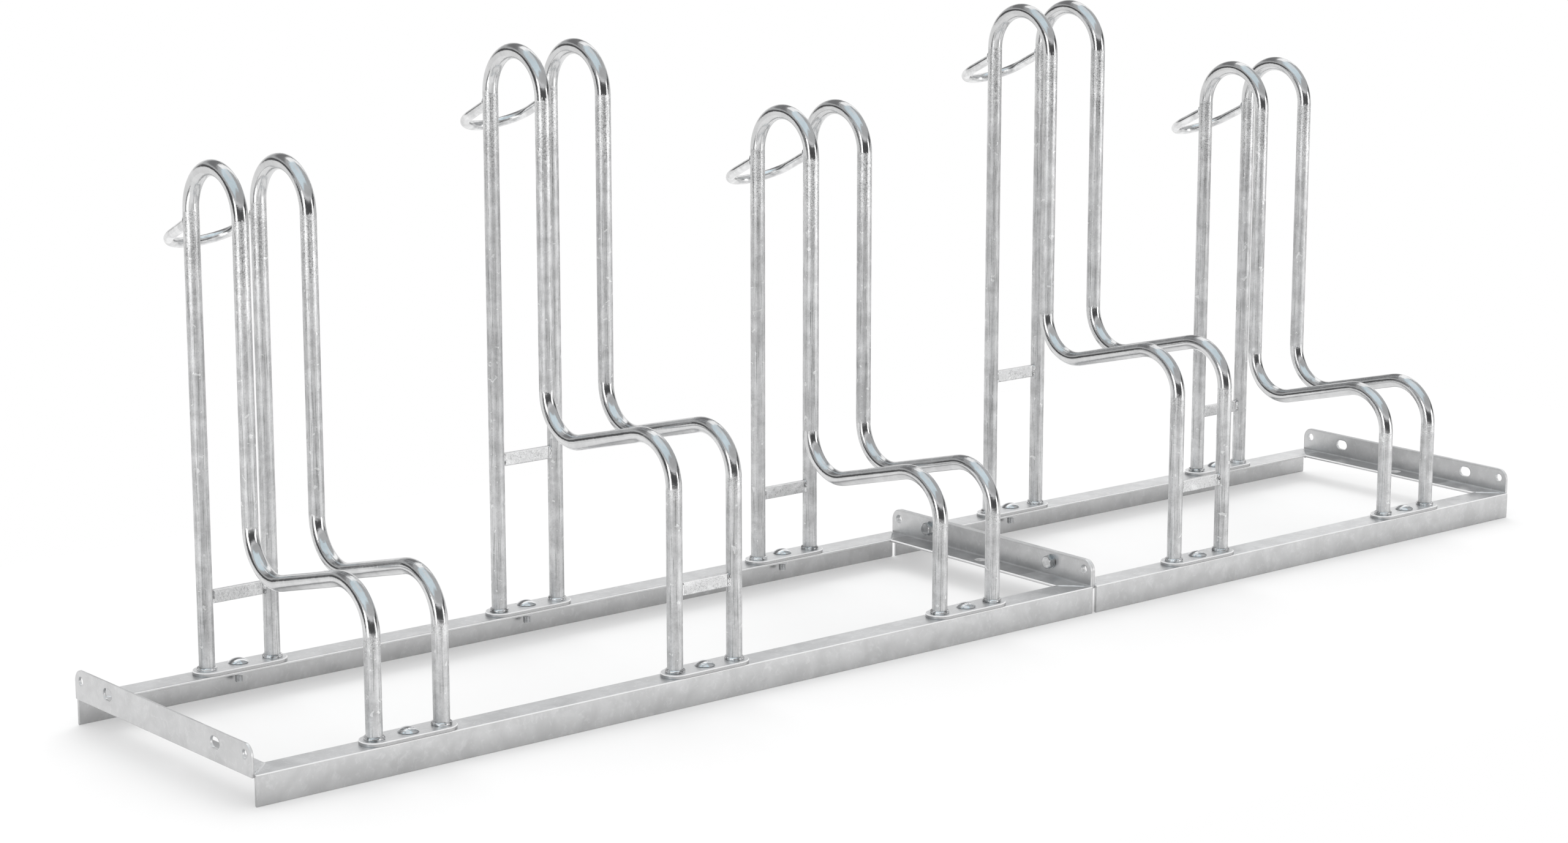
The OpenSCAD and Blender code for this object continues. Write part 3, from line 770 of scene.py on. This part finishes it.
class RACK_OT_stage(bpy.types.Operator):
    """Makes the pale floor, the room, the soft light and the camera"""

    bl_idname = "rack.stage"
    bl_label = "Stage"

    def execute(self, context):
        studio = context.scene.rack_studio
        context.scene.view_settings.view_transform = "Standard"
        self.make_floor(context.scene, studio)
        self.make_room(context.scene, studio)
        self.make_light(context.scene, studio)
        self.make_camera(context.scene, studio)
        return {"FINISHED"}

    def make_floor(self, scene, studio):
        """Takes shadows. It glows a little for the camera and in mirrors alone, so it looks white."""
        reach_x = cad_high.x + studio.floor_margin
        reach_y = cad_high.y + studio.floor_margin
        mesh = bpy.data.meshes.new("floor")
        bm = bmesh.new()
        bm.faces.new([bm.verts.new((i * reach_x, j * reach_y, 0)) for i, j in SQUARE])
        bm.to_mesh(mesh)
        bm.free()
        floor = bpy.data.objects.new("floor", mesh)
        floor.location.z = -FLOOR_DROP
        scene.collection.objects.link(floor)
        material = bpy.data.materials.new("floor")
        t = Tree(material)
        ray = t.add("ShaderNodeLightPath")
        seen = Number(t, ray.outputs["Is Camera Ray"])
        for kind in ("Is Glossy Ray", "Is Transmission Ray"):
            seen = seen.most(Number(t, ray.outputs[kind]))
        paint = t.add("ShaderNodeBsdfDiffuse", None, {"Color": (studio.floor_paint,) * 3})
        glow = t.add("ShaderNodeEmission", None, {"Color": WHITE, "Strength": studio.floor_glow})
        lit = t.add("ShaderNodeAddShader", None, {0: paint.outputs[0], 1: glow.outputs[0]})
        shown = t.add("ShaderNodeMixShader", None, {0: seen, 1: paint.outputs[0], 2: lit.outputs[0]})
        t.add("ShaderNodeOutputMaterial", None, {"Surface": shown.outputs[0]})
        mesh.materials.append(material)

    def make_room(self, scene, studio):
        """White to the camera. Metal mirrors a wall, a dark band, lamps, a ceiling and a skylight."""
        world = bpy.data.worlds.new("room")
        scene.world = world
        t = Tree(world)
        ray = t.add("ShaderNodeLightPath")
        toward = t.add("ShaderNodeTexCoord").outputs["Generated"]
        x, y, z = t.axes(toward)
        level = (1 - z * z).most(0.001).root()

        def facing(direction):
            return (x * direction[0] + y * direction[1]) / level

        toward_front = facing(studio.front)
        dark = (z + toward_front.ramp(-0.6, 0.5) * 0.22).ramp(0.06, 0.13) * toward_front.ramp(-0.9, -0.5)
        dark = dark.most(facing(studio.post).ramp(0.985, 0.995) * 0.8)
        dark = dark.most(facing(studio.right_lamp).ramp(0.3, 0.7) * 0.2)
        low = t.blend(dark, studio.wall, studio.gap)
        lamps = facing(studio.left_lamp).most(facing(studio.right_lamp)).ramp(0.97, 0.988)
        low = t.blend(lamps, low, (studio.lamp_light,) * 3)

        back = y.ramp(0.54, 0.62) * z.ramp(0.4, 0.54)
        ceiling = t.blend(back, studio.ceiling, studio.back_ceiling)
        ceiling = t.blend(toward_front.ramp(0.3, 0.9) * z.ramp(0.5, 0.4), ceiling, studio.front_ceiling)
        mirrored = t.blend(z.ramp(0.25, 0.35), low, ceiling)
        window = x.band(*SKYLIGHT_X) * y.band(*SKYLIGHT_Y) * z.ramp(*SKYLIGHT_Z)
        skylight = t.blend(z.ramp(*OVERHEAD_Z), studio.skylight, studio.overhead)
        mirrored = t.blend(window, mirrored, skylight)
        blind = x.ramp(*BLIND_X) * y.band(*BLIND_Y) * z.ramp(*BLIND_Z)
        mirrored = t.blend(blind, mirrored, (studio.blind_light,) * 3)

        glossy = Number(t, ray.outputs["Is Glossy Ray"])
        room = t.blend(glossy, (studio.room_light,) * 3, mirrored)
        through = Number(t, ray.outputs["Is Transmission Ray"])
        seen = Number(t, ray.outputs["Is Camera Ray"]).most(through)
        colour = t.blend(seen, room, WHITE)
        sky = t.add("ShaderNodeBackground", None, {"Color": colour, "Strength": 1.0})
        t.add("ShaderNodeOutputWorld", None, {"Surface": sky.outputs[0]})

    def make_light(self, scene, studio):
        data = bpy.data.lights.new("soft_light", "SUN")
        data.energy = studio.sun_light
        data.angle = studio.sun_spread
        light = bpy.data.objects.new("soft_light", data)
        light.rotation_euler = studio.sun_turn
        light.visible_glossy = False
        scene.collection.objects.link(light)

    def make_camera(self, scene, studio):
        data = bpy.data.cameras.new("camera")
        data.lens = studio.lens
        data.sensor_width = SENSOR_W
        data.sensor_fit = "HORIZONTAL"
        data.dof.use_dof = False
        camera = bpy.data.objects.new("camera", data)
        camera.location = studio.camera_place
        camera.rotation_euler = (math.pi / 2 - studio.camera_tilt, 0, -studio.camera_turn)
        scene.collection.objects.link(camera)
        scene.camera = camera


class RACK_OT_tubes(bpy.types.Operator):
    """Finishes the bent tubes of the five stands"""

    bl_idname = "rack.tubes"
    bl_label = "Tubes"

    def execute(self, context):
        low = tube_finish("galvanised_tube_low", 0.0)
        high = tube_finish("galvanised_tube_high", HIGH_LIFT)
        for n in STANDS:
            wear([f"stand{n}_left_tube", f"stand{n}_right_tube"], high if n in HIGH_STANDS else low)
        return {"FINISHED"}


class RACK_OT_rails(bpy.types.Operator):
    """Finishes the rails and end angles of the base"""

    bl_idname = "rack.rails"
    bl_label = "Rails and end angles"

    def execute(self, context):
        kinds = ("front_rail", "back_rail", "left_end_angle", "right_end_angle")
        wear([f"{unit}_{kind}" for unit in ("long", "short") for kind in kinds], angle_finish())
        return {"FINISHED"}


class RACK_OT_flats(bpy.types.Operator):
    """Finishes the foot plates and tie bars"""

    bl_idname = "rack.flats"
    bl_label = "Feet and tie bars"

    def execute(self, context):
        finish = context.scene.rack_finish
        feet = flat_finish("galvanised_feet", finish.foot_feathers)
        ties = flat_finish("galvanised_ties", finish.tie_feathers)
        wear([f"stand{n}_{kind}" for n in STANDS for kind in ("front_foot", "back_foot")], feet)
        wear([f"stand{n}_back_tie" for n in STANDS], ties)
        wear([f"stand{n}_front_tie" for n in HIGH_STANDS], ties)
        return {"FINISHED"}


class RACK_OT_loops(bpy.types.Operator):
    """Finishes the lock loops"""

    bl_idname = "rack.loops"
    bl_label = "Lock loops"

    def execute(self, context):
        wear([f"stand{n}_lock_loop" for n in STANDS], rod_finish())
        return {"FINISHED"}


class RACK_OT_beads(bpy.types.Operator):
    """Makes the rippled weld beads of the stands and of the base"""

    bl_idname = "rack.beads"
    bl_label = "Weld beads"

    def execute(self, context):
        material = weld_finish()
        for n in STANDS:
            self.stand_beads(n, material)
        # The mitre beads are dressed, so they look like the rails
        rail_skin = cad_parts["long_front_rail"].material_slots[0].material
        self.base_beads(context.scene.rack_beads, rail_skin)
        return {"FINISHED"}

    def stand_beads(self, n, material):
        left_x, right_x = TUBE_X[n, "left"], TUBE_X[n, "right"]
        bm = bmesh.new()
        for x in (left_x, right_x):
            add_collar(bm, x, FRONT_LEG_Y)
            add_collar(bm, x, BACK_LEG_Y)
            add_root_bead(bm, f"stand{n}_lock_loop", x)
        add_tie_beads(bm, f"stand{n}_back_tie", left_x, right_x)
        if n in HIGH_STANDS:
            add_tie_beads(bm, f"stand{n}_front_tie", left_x, right_x)
        finished_piece(f"stand{n}_weld_beads", bm, material, [f"stand{n}_welds"])

    def base_beads(self, beads, material):
        bm = bmesh.new()
        z = RAIL_TOP + beads.mitre_proud - beads.mitre_r
        for unit in ("long", "short"):
            front_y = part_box(f"{unit}_front_rail")[0].y
            back_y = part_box(f"{unit}_back_rail")[1].y
            left_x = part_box(f"{unit}_left_end_angle")[0].x
            right_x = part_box(f"{unit}_right_end_angle")[1].x
            for x, inward in ((left_x, 1), (right_x, -1)):
                for y, back in ((front_y, 1), (back_y, -1)):
                    start, end = (
                        Vector((x + inward * reach, y + back * reach, z))
                        for reach in (beads.mitre_start, beads.mitre_end))
                    path = straight_path(start, end)
                    add_bead(bm, path, beads.mitre_r, UP, beads.mitre_ripple, sides=MITRE_BEAD_SIDES)
        finished_piece("base_weld_beads", bm, material, ["base_welds"])


class RACK_OT_bolts(bpy.types.Operator):
    """Makes the threaded domed bolts and finishes the hexagon bolts, nuts and washers"""

    bl_idname = "rack.bolts"
    bl_label = "Bolts and nuts"

    def execute(self, context):
        finish = context.scene.rack_finish
        domes = plated_finish("zinc_domes", finish.plated)
        hexagons = plated_finish("zinc_hexagons", finish.dark_plated)
        wear(["carriage_nuts", "coupling_nuts", "coupling_washers", "coupling_bolts"], hexagons)
        low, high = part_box("carriage_bolts")
        head_r = (TUBE_X[1, "left"] + TUBE_X[1, "right"]) / 2 - low.x
        bm = bmesh.new()
        for n in STANDS:
            x = (TUBE_X[n, "left"] + TUBE_X[n, "right"]) / 2
            for y in (low.y + head_r, high.y - head_r):
                base = Vector((x, y, FOOT_TOP))
                add_dome(bm, base, head_r, high.z - FOOT_TOP)
                add_neck(bm, base)
                add_shank(bm, base, FOOT_TOP - low.z)
        finished_piece("threaded_carriage_bolts", bm, domes, ["carriage_bolts"])
        return {"FINISHED"}


class RACK_PT_panel(bpy.types.Panel):
    """Lists the rack's pieces in the sidebar"""

    bl_idname = "RACK_PT_panel"
    bl_label = "Bike Rack"
    bl_space_type = "VIEW_3D"
    bl_region_type = "UI"
    bl_category = "Bike Rack"

    def draw(self, context):
        for operator in OPERATORS:
            self.layout.operator(operator.bl_idname)
        for name, group in GROUPS.items():
            box = self.layout.box()
            owner = getattr(context.scene, name)
            for setting in group.__annotations__:
                box.prop(owner, setting)


GROUPS = {
    "rack_finish": RackFinish,
    "rack_beads": RackBeads,
    "rack_bolts": RackBolts,
    "rack_studio": RackStudio,
}
OPERATORS = (
    RACK_OT_stage,
    RACK_OT_tubes,
    RACK_OT_rails,
    RACK_OT_flats,
    RACK_OT_loops,
    RACK_OT_beads,
    RACK_OT_bolts,
)
CLASSES = (*GROUPS.values(), *OPERATORS, RACK_PT_panel)


def register():
    for item in CLASSES:
        bpy.utils.register_class(item)
    for name, group in GROUPS.items():
        setattr(bpy.types.Scene, name, PointerProperty(type=group))


def unregister():
    for name in GROUPS:
        delattr(bpy.types.Scene, name)
    for item in reversed(CLASSES):
        bpy.utils.unregister_class(item)


def main():
    register()
    bpy.ops.rack.stage()
    bpy.ops.rack.tubes()
    bpy.ops.rack.rails()
    bpy.ops.rack.flats()
    bpy.ops.rack.loops()
    bpy.ops.rack.beads()
    bpy.ops.rack.bolts()


if __name__ == "__main__":
    main()
